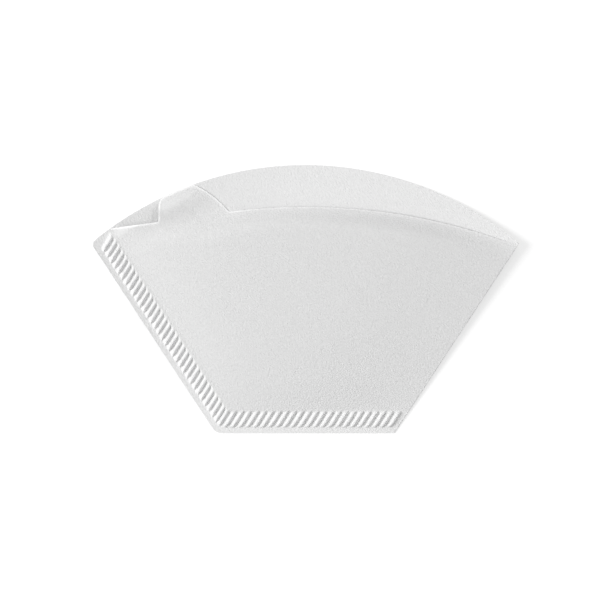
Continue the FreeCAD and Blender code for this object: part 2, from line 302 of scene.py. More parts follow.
    def seam_edge(self) -> Array:
        """Pocket's edge at the two seams, from the mouth down the side and to the fold.

        Returns:
            Points by 2, further right across the bars from each to the next.
        """
        low = self.foot_y + self.seam_width
        margin = self.seam_width * self.slant
        radius = self.seam_corner_radius
        corner_x = margin - self.half_width(self.seam_width)
        centre = np.array([corner_x + radius * math.tan(self.half_turn), low + radius])
        foot = arc(centre, radius, self.side_turn, 1.5 * math.pi)
        top_up = self.shoulder_height + self.seam_overrun
        top = np.array([margin - self.half_width(top_up), self.foot_y + top_up])
        end = np.array([self.half_width(self.seam_width), low])
        side = straight(top, foot[0])
        return np.concatenate([side, foot[1:], straight(foot[-1], end)[1:]])

    def front_edge(self, start: Array) -> Array:
        """Front ply's edge at the mouth, from the side seam round the tab to the fold.

        Args:
            start: Where the side seam meets the crown.

        Returns:
            Points by 2, with its inner corners a little rounded.
        """
        foot = np.array([-self.tab_left, self.crown_y - self.side_edge_drop])
        top_x = self.tab_corner_radius - self.tab_left
        corner_y = self.crown(top_x) - self.tab_corner_drop - self.tab_corner_radius
        corner = arc([top_x, corner_y], self.tab_corner_radius, math.pi, math.pi / 2)
        root_x = -self.tab_right
        drop = math.sqrt(self.tab_shoulder_radius**2 - self.tab_shoulder_width**2)
        shoulder = np.array([root_x - self.tab_shoulder_width, self.front(root_x) - drop])
        turn = math.atan2(drop, self.tab_shoulder_width)
        begin = math.acos((-self.tab_shoulder_start - shoulder[0]) / self.tab_shoulder_radius)
        round_side = arc(shoulder, self.tab_shoulder_radius, begin, turn)
        tab = np.concatenate([corner, straight(corner[-1], round_side[0])[1:], round_side[1:]])
        tab[:, 1] = np.minimum(tab[:, 1], self.crown(tab[:, 0]) - self.tab_crown_gap)
        end_x = self.half_mouth - self.lean * self.front_tip_drop
        across = np.linspace(root_x, end_x, self.edge_points)
        long_edge = np.stack([across, self.front(across)], axis=1)
        parts = [straight(start, foot), straight(foot, tab[0])[1:], tab[1:], long_edge[1:]]
        return rounded(np.concatenate(parts), self.edge_softness)


def rounded(path: Array, spread: float) -> Array:
    """A path with its corners softened, by a bell-shaped average over nearby points.

    Args:
        path: Points by 2.
        spread: Width of the bell in millimetres.

    Returns:
        Evenly spaced points by 2 with the same two ends.
    """
    run = run_length(path)
    even = along_path(path, run, np.linspace(0.0, run[-1], int(run[-1] / EVEN_STEP)))
    reach = int(BELL_REACH * spread / EVEN_STEP)
    bell = np.exp(-0.5 * (np.arange(-reach, reach + 1) * EVEN_STEP / spread) ** 2)
    bell /= bell.sum()
    before = 2 * even[0] - even[reach:0:-1]
    after = 2 * even[-1] - even[-2 : -reach - 2 : -1]
    longer = np.concatenate([before, even, after])
    softened = [np.convolve(longer[:, axis], bell, mode="valid") for axis in (0, 1)]
    return np.stack(softened, axis=1)


@dataclass(frozen=True)
class Lie:
    """How high the two plies lie above the floor, in millimetres.

    Curls and rises are heights, and a sag is a share of the air between the plies.
    The rest are places and distances in the plan over which the height changes.
    """

    plan: Plan
    paper_thickness: float = 0.18
    seam_bulk: float = 0.04
    side_curl: float = 3.1
    fold_curl: float = 3.2
    side_curl_start: float = 45.0
    fold_curl_start: float = 5.0
    pocket_rise: float = 2.4
    foot_rise: float = 1.6
    side_puff: float = 14.0
    foot_puff: float = 6.0
    lip_sag: float = 0.87
    lip_reach: float = 8.0
    tab_sag: float = 0.125
    tab_reach: float = 3.0
    tab_lead: float = 0.7
    tab_blend: float = 6.0
    tab_run: float = 12.0
    tab_side: float = 0.75
    tab_rise: float = 1.0
    sag_start: float = 78.0
    sag_run: float = 44.0
    crown_reach: float = 6.0
    contact_sink: float = 0.03
    curl_limit: float = 1.05

    @property
    def seam_height(self) -> float:
        """Both plies and the loose fibre between them, where they are pressed together."""
        return 2 * self.paper_thickness + self.seam_bulk

    def under(self, points: Array) -> Array:
        """Back ply's lower face.

        Flat on the floor in the middle, plus a curl to each side that grows with the
        cube of the way to the edge and in a straight line from the foot up.
        """
        return np.maximum(self.curl(points), 0.0)

    def curl(self, points: Array) -> Array:
        """Curl of the back ply before the floor stops it."""
        up = points[..., 1] - self.plan.foot_y
        edge = self.plan.half_mouth
        spread = points[..., 0] / self.plan.half_width(up) * edge
        side = (-spread - self.side_curl_start) / (edge - self.side_curl_start)
        fold = (spread - self.fold_curl_start) / (edge - self.fold_curl_start)
        sides = self.side_curl * np.clip(side, 0.0, self.curl_limit) ** 3
        folds = self.fold_curl * np.clip(fold, 0.0, self.curl_limit) ** 3
        return (sides + folds) * up / self.plan.shoulder_height - self.contact_sink

    def gap(self, points: Array) -> Array:
        """Air between the plies.

        A chord from the seam to the fold less the back ply, plus an arch that is highest
        at the side seam's end and grows to the mouth. It opens from both seams as one
        less a falling exponential of the distance, and the free lip sags.
        """
        up = points[..., 1] - self.plan.foot_y
        half = self.plan.half_width(up)
        seam = self.plan.seam_width * self.plan.slant - half
        share = (points[..., 0] - seam) / (half - seam)
        height = points[..., 1]
        at_seam = self.curl(np.stack([seam, height], axis=-1))
        at_fold = self.curl(np.stack([half, height], axis=-1))
        chord = (1 - share) * at_seam + share * at_fold
        rise = self.plan.crown_height - self.plan.front_drop - self.plan.seam_width
        way = (up - self.plan.seam_width) / rise
        arch = self.foot_rise + (self.pocket_rise - self.foot_rise) * way
        side = 1.0 - np.exp(-np.clip(points[..., 0] - seam, 0.0, None) / self.side_puff)
        foot = 1.0 - np.exp(-np.clip(up - self.plan.seam_width, 0.0, None) / self.foot_puff)
        air = (chord - self.curl(points) + (1 - share) * arch) * side * foot
        return np.maximum(air, 0.0) * (1.0 - self.sag(points))

    def sag(self, points: Array) -> Array:
        """Share of the air that the front ply loses.

        Its free lip sags, less near the seam and more at its tab. It closes under the
        crown's edge.
        """
        across = points[..., 0]
        past = points[..., 1] - self.plan.front(across)
        free = smooth((across + self.sag_start) / self.sag_run)
        lip = self.lip_sag * smooth(past / self.lip_reach + 1.0)
        beside = smooth((self.tab_blend - self.plan.tab_right - across) / self.tab_blend)
        root = self.tab_sag * smooth(past / self.tab_reach + self.tab_lead) * beside
        on_tab = smooth((across + self.plan.tab_left) / self.tab_run + self.tab_side)
        tab = self.lip_sag * smooth((past - self.tab_rise) / self.lip_reach) * on_tab
        sag = np.maximum((lip + root) * free, tab)
        return 1.0 - (1.0 - sag) * smooth(self.plan.under_crown(points) / self.crown_reach)

    def over(self, points: Array) -> Array:
        """Front ply's upper face: the back ply, both thicknesses and the air between."""
        return self.curl(points) + self.seam_height + self.gap(points)


@dataclass(frozen=True)
class Crimp:
    """The slanted bars pressed into both seams, in millimetres.

    A flank lies between two distances from a bar's middle. Starts, ends and insets are
    measured square to the cut edge, and pitches and gaps along the seam.
    """

    plan: Plan
    seam_margin: float = 1.75
    bar_start: float = 2.0
    bar_end: float = 8.5
    bar_height: float = 0.78
    left_flank: Pair = (-1.15, 0.1)
    right_flank: Pair = (0.5, 1.0)
    outer_taper: float = 1.1
    inner_taper: float = 1.2
    inner_inset: float = 0.5
    crown_clear: float = 0.8
    crown_taper: float = 2.2
    fold_fade: float = 45.0
    groove_base: float = 1.05
    groove_floor: float = 0.5
    groove_depth: float = 0.28
    groove_inset: float = 0.4
    groove_taper: float = 0.6
    side_pitch: float = 2.553
    side_first_bar: float = 3.45
    side_last_gap: float = 4.6
    foot_pitch: float = 2.905
    foot_first_bar: float = 2.1
    foot_last_gap: float = 2.9
    flank_columns: int = 5
    lead_columns: int = 6
    tail_columns: int = 12
    column_gap: float = 0.05
    seam_gap: float = 0.06

    def middles(self) -> Array:
        """Place of every bar across the bars, from the upper corner to the fold.

        The side seam's bars and the foot seam's bars each have a pitch of their own.
        """
        plan = self.plan
        inset = (self.seam_margin + self.bar_end) / 2
        inward = np.array([1.0, plan.lean]) / plan.slant
        down = np.array([plan.lean, -1.0]) / plan.slant
        corner = np.array([-plan.half_mouth, plan.corner_y]) + inward * inset
        length = plan.shoulder_height * plan.slant - self.side_last_gap
        runs = np.arange(self.side_first_bar, length, self.side_pitch)
        side = (corner + runs[:, None] * down) @ plan.across
        reach = plan.half_width(inset) - self.foot_last_gap
        places = np.arange(self.foot_first_bar - plan.half_foot, reach, self.foot_pitch)
        level = np.full_like(places, plan.foot_y + inset)
        foot = np.stack([places, level], axis=1) @ plan.across
        return np.concatenate([side, foot])

    def columns(self, start: float, seam: float, end: float) -> Array:
        """Places across the bars where the sheet's mesh has a column.

        Each bar gets columns down both flanks and one on its crest. A few more lead to
        the first bar and away from the last.

        Args:
            start: Place of the sheet's first point.
            seam: Place where the side seam ends at the crown.
            end: Place of the fold.

        Returns:
            Rising places, with the given three among them.
        """
        left = np.linspace(*self.left_flank, self.flank_columns)
        right = np.linspace(*self.right_flank, self.flank_columns)
        crest = [(self.left_flank[1] + self.right_flank[0]) / 2]
        marks = np.concatenate([left, crest, right])
        places = (self.middles()[:, None] + marks[None, :]).ravel()
        lead = np.linspace(start, places[0], self.lead_columns)[:-1]
        tail = np.linspace(places[-1], end, self.tail_columns)[1:-1]
        gap = self.column_gap
        places = places[(places > start + gap) & (places < end - gap)]
        places = places[np.abs(places - seam) > self.seam_gap]
        lead = lead[lead < places[0] - gap]
        return np.unique(np.concatenate([lead, places, tail, [start, seam, end]]))

    def from_bar(self, places: Array) -> Array:
        """Distance of each place from the nearest bar's middle, less than 0 on its left."""
        away = places[..., None] - self.middles()
        nearest = np.abs(away).argmin(axis=-1)
        return np.take_along_axis(away, nearest[..., None], axis=-1)[..., 0]

    def bar_profile(self, places: Array) -> Array:
        """Bar from left to right: a soft rise on its left flank and a steeper fall."""
        away = self.from_bar(places)
        low, high = self.left_flank
        crest, end = self.right_flank
        return smooth((away - low) / (high - low)) * smooth((end - away) / (end - crest))

    def groove_profile(self, places: Array) -> Array:
        """Groove behind a bar: 1 on its floor and 0 beyond its sides, softly between."""
        away = np.abs(self.from_bar(places))
        return smooth((self.groove_base / 2 - away) * 2 / (self.groove_base - self.groove_floor))

    def lift(self, points: Array) -> Array:
        """How far the unpressed front ply stands above the pressed seam, less at the fold."""
        return self.bar_height * smooth(self.plan.from_fold(points) / self.fold_fade)

    def crown_share(self, points: Array) -> Array:
        """Share of a bar's height that is left close to the crown."""
        return smooth((self.plan.under_crown(points) - self.crown_clear) / self.crown_taper)

    def bars(self, lift: Array, places: Array, depth: Array, crown_share: Array) -> Array:
        """Height of the front ply over its pressed level.

        The bars rise past the margin. At the pocket the pressed ground between them
        comes up to the level of the bars and of the panel.

        Args:
            lift: How far the unpressed ply stands above the pressed seam.
            places: Place of each point across the bars.
            depth: Its distance from the cut edge.
            crown_share: Share of the bars' height that is left close to the crown.

        Returns:
            Height in millimetres.
        """
        outer = smooth((depth - self.bar_start) / self.outer_taper) * crown_share
        inner = smooth((depth + self.inner_inset - self.plan.seam_width) / self.inner_taper + 1.0)
        bar = self.bar_height * self.bar_profile(places) * outer
        return bar * (1.0 - inner) + lift * inner

    def grooves(self, places: Array, depth: Array) -> Array:
        """Height of the grooves in the back ply, which fade at both ends."""
        begin = self.seam_margin + self.groove_inset
        end = self.bar_end - self.groove_inset
        along = smooth((depth - begin) / self.groove_taper)
        along *= smooth((end - depth) / self.groove_taper)
        return self.groove_depth * self.groove_profile(places) * along


@dataclass
class Patch:
    """One grid of the sheet's surface, columns by rows by three, in millimetres.

    Edge is a painted highlight, 1 on the front ply's cut edge. Light is a share of
    painted light, 1 where the paper is painted paler than its own colour: it stands in
    for light through one ply alone and lifts the shade on the seams, the fold and the rims.
    """

    points: Array
    edge: Array
    light: Array

    def quads(self, first: int) -> Array:
        """Four corners of every cell, numbered from the patch's first point."""
        index = first + np.arange(self.edge.size).reshape(self.edge.shape)
        corners = [index[:-1, :-1], index[1:, :-1], index[1:, 1:], index[:-1, 1:]]
        return np.stack(corners, axis=-1).reshape(-1, 4)


def placed(name: str, data: bpy.types.ID) -> bpy.types.Object:
    """A new object in the scene."""
    thing = bpy.data.objects.new(name, data)
    bpy.context.scene.collection.objects.link(thing)
    return thing


def patch(points: Array, edge: float | Array = 0.0, light: float | Array = 0.0) -> Patch:
    """A patch, with one painted highlight and one painted light value, or a value for each point.
    """
    grid = points.shape[:2]
    return Patch(points, np.broadcast_to(edge, grid), np.broadcast_to(light, grid))


@dataclass(frozen=True)
class PaperFinish:
    """Soft white filter paper, with short fibres, a fine crepe, a paler grey for painted light and
    a white painted highlight.

    Scales are in features a metre and greys are linear. A crepe is an angle in degrees
    and a stretch along it.
    """

    name: str = "filter_paper_white"
    colour: float = 0.7
    # grey of the painted light
    painted_light_grey: float = 0.77
    tone_spread: float = 0.05
    tone_stops: Pair = (0.32, 0.68)
    # painted highlight on the front ply's cut edge
    highlight_grey: float = 0.97
    highlight_grain: float = 0.94
    highlight_stops: Pair = (0.2, 0.8)
    highlight_share: float = 0.9
    # share of painted light over the crimped seams
    crimp_light_share: float = 0.95
    roughness: float = 0.95
    specular: float = 0.12
    fibre_scale: float = 1900.0
    fibre_rough: float = 0.6
    crepe_scale: float = 2300.0
    crepe_rough: float = 0.5
    crepe_share: float = 0.5
    steep_crepe: Pair = (-48.0, 2.6)
    gentle_crepe: Pair = (-25.0, 2.2)
    bump_depth: float = 0.00036


class Nodes:
    """Short ways to add and join shader nodes of one material."""

    def __init__(self, name: str) -> None:
        """Makes an empty material.

        Args:
            name: Its name.
        """
        self.material = bpy.data.materials.new(name)
        self.material.use_nodes = True
        self.tree = self.material.node_tree
        self.tree.nodes.clear()

    def add(self, kind: str, **inputs: object) -> bpy.types.Node:
        """Adds a node and fills its inputs.

        Args:
            kind: The node's type.
            **inputs: A value or an output socket for each named input, and plain
                settings of the node in lower case.

        Returns:
            The node.
        """
        node = self.tree.nodes.new(kind)
        for name, value in inputs.items():
            if hasattr(node, name):
                setattr(node, name, value)
                continue
            self.feed(node.inputs[name.replace("_", " ")], value)
        return node

    def feed(self, socket: Socket, value: object) -> None:
        """Links an input to an output socket, or gives it a value."""
        if isinstance(value, Socket):
            self.tree.links.new(value, socket)
        else:
            socket.default_value = value

    def math(self, operation: str, first: object, second: object) -> Socket:
        """One sum, product or other operation of two values or sockets."""
        node = self.add("ShaderNodeMath", operation=operation)
        self.feed(node.inputs[0], first)
        self.feed(node.inputs[1], second)
        return node.outputs[0]

    def mix(self, share: float, first: Socket, second: Socket) -> Socket:
        """Weighted mean of two values, with the given share of the second."""
        kept = self.math("MULTIPLY", first, 1.0 - share)
        return self.math("ADD", kept, self.math("MULTIPLY", second, share))

    def noise(self, place: Socket, scale: float, rough: float) -> Socket:
        """Cloudy noise of one scale, in features a metre."""
        node = self.add("ShaderNodeTexNoise", Vector=place, Scale=scale, Roughness=rough)
        return node.outputs["Fac"]

    def turned(self, place: Socket, angle: float, stretch: float) -> Socket:
        """Places for a pattern that is drawn out along an angle in the sheet's plane."""
        node = self.add("ShaderNodeMapping", vector_type="TEXTURE", Vector=place)
        node.inputs["Rotation"].default_value = (0.0, 0.0, math.radians(angle))
        node.inputs["Scale"].default_value = (stretch, 1.0, 1.0)
        return node.outputs[0]

    def attribute(self, name: str) -> Socket:
        """Value of one of the mesh's own attributes."""
        return self.add("ShaderNodeAttribute", attribute_name=name).outputs["Fac"]

    def blend(self, share: Socket, first: Socket, second: Socket) -> Socket:
        """Blend of two values, or of two colours, by a share from 0 to 1."""
        kind = "RGBA" if first.type == "RGBA" else "FLOAT"
        node = self.add("ShaderNodeMix", data_type=kind)
        ends = [socket for socket in node.inputs if socket.type == first.type][-2:]
        for socket, value in zip([node.inputs[0], *ends], (share, first, second)):
            self.feed(socket, value)
        return next(socket for socket in node.outputs if socket.type == first.type)

    def ramp(self, factor: Socket, places: Pair, greys: Pair) -> Socket:
        """Greys that follow a factor, from one at a first place to one at a second."""
        node = self.add("ShaderNodeValToRGB", Fac=factor)
        for element, place, grey in zip(node.color_ramp.elements, places, greys):
            element.position = place
            element.color = (grey, grey, grey, 1.0)
        return node.outputs["Color"]


@dataclass
class FilterPaper:
    """The folded sheet: both plies, the fold, the crimped seams and the pocket.

    The blank is in metres and the rest in millimetres. Band rows are shares of the seam,
    and lip rows are distances from the mouth. Marks are matched places on the pocket's
    edge and on both mouth edges. The last fields place the painted light, with its
    painted shade towards the back ply's left corner, and the painted highlight on the lip.
    """

    plan: Plan = field(default_factory=Plan)
    finish: PaperFinish = field(default_factory=PaperFinish)
    blank: Pair = (0.2767, 0.1266)
    blank_area: float = 0.02263
    band_rows: tuple[float, ...] = (
        0.0, 0.07, 0.14, 0.2, 0.23, 0.255, 0.28, 0.34, 0.46,
        0.58, 0.7, 0.79, 0.83, 0.865, 0.9, 0.935, 0.97, 1.0,
    )
    panel_rows: int = 16
    lip_rows: tuple[float, ...] = (13.4, 10.8, 8.6, 6.8, 5.2, 3.8, 2.6, 1.6, 0.8, 0.35)
    short_rows: float = 0.55
    fold_steps: int = 5
    fold_round: float = 0.12
    fold_drift: float = 6.0
    corner_part: int = 3
    corner_points: int = 4000
    seam_marks: tuple[float, ...] = (-62.0, -52.0, -49.0, -44.0, -36.0)
    front_marks: tuple[Pair, ...] = (
        (-56.9, 29.9), (-56.7, 36.0), (-53.9, 39.8), (-44.0, 43.5), (-29.6, 34.4),
    )
    back_marks: tuple[float, ...] = (-66.0, -58.0, -54.0, -45.5, -30.2)
    inner_open: float = 1.2
    merge_gap: float = 0.00005
    sharp_angle: float = 50.0
    # where the painted light, its painted shade and the painted highlight on the lip lie
    margin_light_fade: float = 0.8
    crimp_light_fade: float = 2.0
    painted_light_lead: float = 8.0
    painted_light_fade: float = 85.0
    highlight_width: float = 0.7
    highlight_spread: float = 0.3
    highlight_least: float = 0.2
    highlight_fade: float = 60.0

    def __post_init__(self) -> None:
        """Works out the columns and the plan of every row."""
        self.lie = Lie(self.plan)
        self.crimp = Crimp(self.plan)
        self.layout()

    def layout(self) -> None:
        """Finds where each column meets the cut edge, the pocket's edge and the mouth.

        A column is a line along the bars from the cut edge to the pocket's edge. The
        first columns end on the crown instead, and the last one turns into the fold.
        From the pocket's edge a column runs on in a straight line to the mouth.
        """
        plan = self.plan
        cut, crown, seam = plan.cut_edge(), plan.crown_edge(), plan.seam_edge()
        cut_place, crown_place = cut @ plan.across, crown @ plan.across
        seam_place = seam @ plan.across
        last = crown_place[len(crown) // self.corner_part]
        common = np.linspace(cut_place[0], last, self.corner_points)
        on_crown = along_path(crown, crown_place, common) @ plan.along
        on_seam = along_path(seam, seam_place, common) @ plan.along
        meets = common[np.argmax(on_seam <= on_crown)]
        places = self.crimp.columns(cut_place[0], meets, cut_place[-1])
        self.places = places
        self.cut = along_path(cut, cut_place, places)
        near_fold = smooth((places - cut_place[-1] + self.fold_drift) / self.fold_drift)
        drift = (seam_place[-1] - cut_place[-1]) * near_fold
        full = along_path(seam, seam_place, places + drift)
        on_crown = along_path(crown, crown_place, places)
        shorter = (full @ plan.along) > (on_crown @ plan.along) + TINY
        self.first = int(np.argmax(places >= meets - TINY))
        shorter[self.first] = True
        shorter[self.first + 1 :] = False
        self.seam = np.where(shorter[:, None], on_crown, full)
        self.full_length = np.linalg.norm(full - self.cut, axis=1)
        self.mouth_layout(crown)

    def mouth_layout(self, crown: Array) -> None:
        """Spreads the columns over both mouth edges.

        Each edge is given as length along it against length along the pocket's edge,
        through a few matched places, so that no two columns cross.

        Args:
            crown: The back ply's top edge.
        """
        plan = self.plan
        seam = self.seam[self.first :]
        run = run_length(seam)
        front = plan.front_edge(seam[0])
        front_run = run_length(front)
        back = np.concatenate([seam[:1], crown[crown[:, 0] > seam[0, 0]]])
        back_run = run_length(back)
        on_front = [
            front_run[np.argmin(np.hypot(front[:, 0] - x, front[:, 1] - y))]
            for x, y in self.front_marks
        ]
        on_back = [back_run[np.argmin(np.abs(back[:, 0] - x))] for x in self.back_marks]
        seam_marks = [0.0, *self.marks(seam, run), run[-1]]
        front_marks = [0.0, *on_front, front_run[-1]]
        back_marks = [0.0, *on_back, back_run[-1]]
        self.front_mouth = along_path(front, front_run, np.interp(run, seam_marks, front_marks))
        self.back_mouth = along_path(back, back_run, np.interp(run, seam_marks, back_marks))
        self.front_mouth[0] = self.back_mouth[0] = seam[0]

    def marks(self, seam: Array, run: Array) -> list[float]:
        """Length along the pocket's edge where it passes the seam's matched places."""
        side = seam[: int(np.argmin(seam[:, 1])) + 1]
        return [float(np.interp(x, side[:, 0], run[: len(side)])) for x in self.seam_marks]

    def panel_shares(self, length: Array) -> Array:
        """Share of each row between the pocket's edge and the mouth.

        Rows are even, but for those that keep a set distance from the mouth's cut edge.
        On a short column that distance shrinks with the column.

        Args:
            length: Length of each column.

        Returns:
            Columns by rows, from 0 to 1.
        """
        even = np.linspace(0.0, 1.0, self.panel_rows, endpoint=False)[None, :]
        span = np.maximum(length, TINY)[:, None]
        near = np.array(self.lip_rows)[None, :]
        last = 1.0 - np.minimum(near / span, self.short_rows * near / near.max())
        return np.concatenate([even * last[:, :1], last, np.ones_like(span)], axis=1)

    def band_plan(self) -> tuple[Array, Array]:
        """Plan of the seams, columns by rows by two, and each point's depth from the cut."""
        shares = np.array(self.band_rows)[None, :]
        points = self.cut[:, None, :] + shares[..., None] * (self.seam - self.cut)[:, None, :]
        length = np.linalg.norm(self.seam - self.cut, axis=1)
        depth = shares * (length / self.full_length)[:, None]
        return points, depth * self.plan.seam_width

    def panel_plan(self, ply: Ply) -> Array:
        """Plan of a ply over the pocket, columns by rows by two."""
        start = self.seam[self.first :]
        end = self.front_mouth if ply is Ply.FRONT else self.back_mouth
        shares = self.panel_shares(np.linalg.norm(end - start, axis=1))[..., None]
        return start[:, None, :] + shares * (end - start)[:, None, :]

    def lift(self, points: Array) -> Array:
        """Height of the front ply over its pressed level, less where its lip sags."""
        return self.crimp.lift(points) * (1.0 - self.lie.sag(points))

    def outer_band(self, ply: Ply) -> Array:
        """Outer face of a ply over the seams: its height plus the crimp."""
        points, depth = self.band_plan()
        places = np.broadcast_to(self.places[:, None], depth.shape)
        if ply is Ply.FRONT:
            share = self.crimp.crown_share(points)
            bars = self.crimp.bars(self.lift(points), places, depth, share)
            height = self.lie.over(points) + bars
        else:
            height = self.lie.under(points) + self.crimp.grooves(places, depth)
        return np.concatenate([points, height[..., None]], axis=-1)

    def outer_panel(self, ply: Ply) -> Array:
        """Outer face of a ply over the pocket."""
        points = self.panel_plan(ply)
        if ply is Ply.FRONT:
            height = self.lie.over(points) + self.lift(points)
        else:
            height = self.lie.under(points)
        return np.concatenate([points, height[..., None]], axis=-1)

    def inner_panel(self, ply: Ply) -> Array:
        """Inner face of a ply.

        One paper thickness inside its outer face. Towards the seams and the fold both
        inner faces meet in the middle of the two plies.
        """
        points = self.panel_plan(ply)
        lift = self.lift(points)
        if ply is Ply.FRONT:
            height = self.lie.over(points) + lift - self.lie.paper_thickness
        else:
            height = self.lie.under(points) + self.lie.paper_thickness
        middle = self.lie.curl(points) + (self.lie.seam_height + lift) / 2
        from_seam = np.linalg.norm(points - points[:, :1, :], axis=-1)
        seam_share = np.clip(from_seam / self.inner_open, 0.0, 1.0)
        fold_share = np.clip(self.plan.from_fold(points) / self.inner_open, 0.0, 1.0)
        height = middle + (height - middle) * (seam_share * fold_share)
        return np.concatenate([points, height[..., None]], axis=-1)

    def fold_strip(self, low: Array, high: Array) -> Array:
        """Round paper round the fold, carried along it.

        Each station is half a circle from the back ply to the front ply that stands
        out to the side by the fold's own radius.

        Args:
            low: Back ply's points at the fold, rows by three.
            high: Front ply's points there.

        Returns:
            Steps by rows by three.
        """
        turn = np.linspace(-math.pi / 2, math.pi / 2, self.fold_steps)[:, None, None]
        share = (np.sin(turn) + 1) / 2
        outward = np.array([1.0, -self.plan.lean, 0.0]) / self.plan.slant
        bulge = np.cos(turn) * self.fold_round * outward
        return low[None] * (1 - share) + high[None] * share + bulge

    def cut_rim(self, front: Array, back: Array) -> Array:
        """Cut edge through both plies, along the foot, the side and the corner.

        Three rows: the front ply's edge, the middle and the back ply's edge.

        Args:
            front: Outer grid of the front ply's seams.
            back: The same of the back ply.

        Returns:
            Columns by 3 by three.
        """
        head = slice(1, self.first + 1)
        top = np.concatenate([front[::-1, 0], front[head, -1]])
        low = np.concatenate([back[::-1, 0], back[head, -1]])
        return np.stack([top, (top + low) / 2, low], axis=1)

    def patches(self) -> list[Patch]:
        """Every grid of the sheet, matched point for point where two of them meet."""
        front_band, front_panel = self.outer_band(Ply.FRONT), self.outer_panel(Ply.FRONT)
        back_band, back_panel = self.outer_band(Ply.BACK), self.outer_panel(Ply.BACK)
        roof, floor = self.inner_panel(Ply.FRONT), self.inner_panel(Ply.BACK)
        floor[-1] = roof[-1]
        floor[:, 0] = roof[:, 0]
        fold_band = self.fold_strip(back_band[-1], front_band[-1])
        fold_panel = self.fold_strip(back_panel[-1], front_panel[-1])
        front_rim = np.stack([front_panel[:, -1], roof[:, -1]], axis=1)
        back_rim = np.stack([back_panel[:, -1], floor[:, -1]], axis=1)
        # painted highlight along the front ply's cut edge at the mouth
        apart = front_panel[:, :, None, :2] - self.front_mouth[None, None]
        to_lip = np.linalg.norm(apart, axis=-1).min(axis=-1)
        lip_highlight = smooth((self.highlight_width - to_lip) / self.highlight_width + self.highlight_spread)
        # painted light over the margins, and a little less over the crimped seams
        _, depth = self.band_plan()
        margin = self.crimp.seam_margin + self.margin_light_fade / 2
        pressed = smooth((margin - depth) / self.margin_light_fade)
        crimped = smooth((self.plan.seam_width - depth) / self.crimp_light_fade)
        pressed = np.maximum(pressed, self.finish.crimp_light_share * crimped)
        # painted light on the back ply, fading to painted shade towards its left corner
        from_tab = back_panel[..., 0] + self.plan.tab_left + self.painted_light_lead
        light_and_crepe = smooth(from_tab / self.painted_light_fade)
        return [
            patch(front_band, 0.0, pressed),
            patch(front_panel, lip_highlight * self.lip_highlight_share()[:, None]),
            patch(back_band, 0.0, pressed),
            patch(back_panel, 0.0, light_and_crepe),
            patch(roof),
            patch(floor, 0.0, light_and_crepe),
            # painted light round the fold
            patch(fold_band, 0.0, 1.0),
            patch(fold_panel, 0.0, 1.0),
            # painted highlight on the front ply's cut rim
            patch(front_rim, 1.0),
            # painted light on the back ply's rim and on the cut rim
            patch(back_rim, 0.0, 1.0),
            patch(self.cut_rim(front_band, back_band), 0.0, 1.0),
        ]

    def lip_highlight_share(self) -> Array:
        """How strong the painted highlight on the front ply's cut edge is: most at the side seam,
        and less to the fold.
        """
        across = self.front_mouth[:, 0]
        return self.highlight_least + (1.0 - self.highlight_least) * smooth(-across / self.highlight_fade)

    def build(self) -> bpy.types.Object:
        """Joins the grids to one closed mesh.

        Returns:
            The object, at the origin, with its place in its mesh.
        """
        patches = self.patches()
        sizes = [item.edge.size for item in patches]
        firsts = np.concatenate([[0], np.cumsum(sizes)[:-1]])
        points = np.concatenate([item.points.reshape(-1, 3) for item in patches]) * MM
        edges = np.concatenate([item.edge.ravel() for item in patches])
        lights = np.concatenate([item.light.ravel() for item in patches])
        quads = np.concatenate([item.quads(first) for item, first in zip(patches, firsts)])
        mesh = bpy.data.meshes.new("filter_sheet")
        mesh.from_pydata(points, [], quads)
        # painted highlight (cut_edge) and painted light, kept on the points
        for name, values in (("cut_edge", edges), ("painted_light_and_crepe", lights)):
            attribute = mesh.attributes.new(name, "FLOAT", "POINT")
            attribute.data.foreach_set("value", values.astype(np.float32))
        self.close(mesh)
        mesh.shade_smooth()
        mesh.set_sharp_from_angle(angle=math.radians(self.sharp_angle))
        LOG.info("filter sheet: %d points, %d faces", len(mesh.vertices), len(mesh.polygons))
        return placed("filter_sheet", mesh)

    def close(self, mesh: bpy.types.Mesh) -> None:
        """Merges points that fall together, closes both ends of the fold and turns faces out.

        Args:
            mesh: The sheet's mesh, changed in place.
        """
        shell = bmesh.new()
        shell.from_mesh(mesh)
        bmesh.ops.remove_doubles(shell, verts=shell.verts, dist=self.merge_gap * MM)
        open_edges = [edge for edge in shell.edges if edge.is_boundary]
        bmesh.ops.holes_fill(shell, edges=open_edges, sides=0)
        bmesh.ops.recalc_face_normals(shell, faces=shell.faces)
        left = sum(1 for edge in shell.edges if not edge.is_manifold)
        LOG.info("filter sheet: %d edges left open", left)
        shell.to_mesh(mesh)
        shell.free()

    def paper(self) -> bpy.types.Material:
        """Filter paper: clouded fibres in its colour, painted light in a paler grey, a painted
        highlight on the front ply's cut edge, and fibre and crepe in its bump.
        """
        finish = self.finish
        nodes = Nodes(finish.name)
        place = nodes.add("ShaderNodeTexCoord").outputs["Object"]
        # share of painted light, which also picks the steeper crepe
        light_and_crepe = nodes.attribute("painted_light_and_crepe")
        fibre = nodes.noise(place, finish.fibre_scale, finish.fibre_rough)
        crepes = []
        for crepe in (finish.gentle_crepe, finish.steep_crepe):
            turned = nodes.turned(place, *crepe)
            crepes.append(nodes.noise(turned, finish.crepe_scale, finish.crepe_rough))
        tone = nodes.mix(finish.crepe_share, fibre, nodes.blend(light_and_crepe, *crepes))
        # painted light: a paler grey where the painted light share is 1
        base, painted_light_grey = [self.shades(nodes, tone, grey) for grey in (finish.colour, finish.painted_light_grey)]
        plies = nodes.blend(light_and_crepe, base, painted_light_grey)
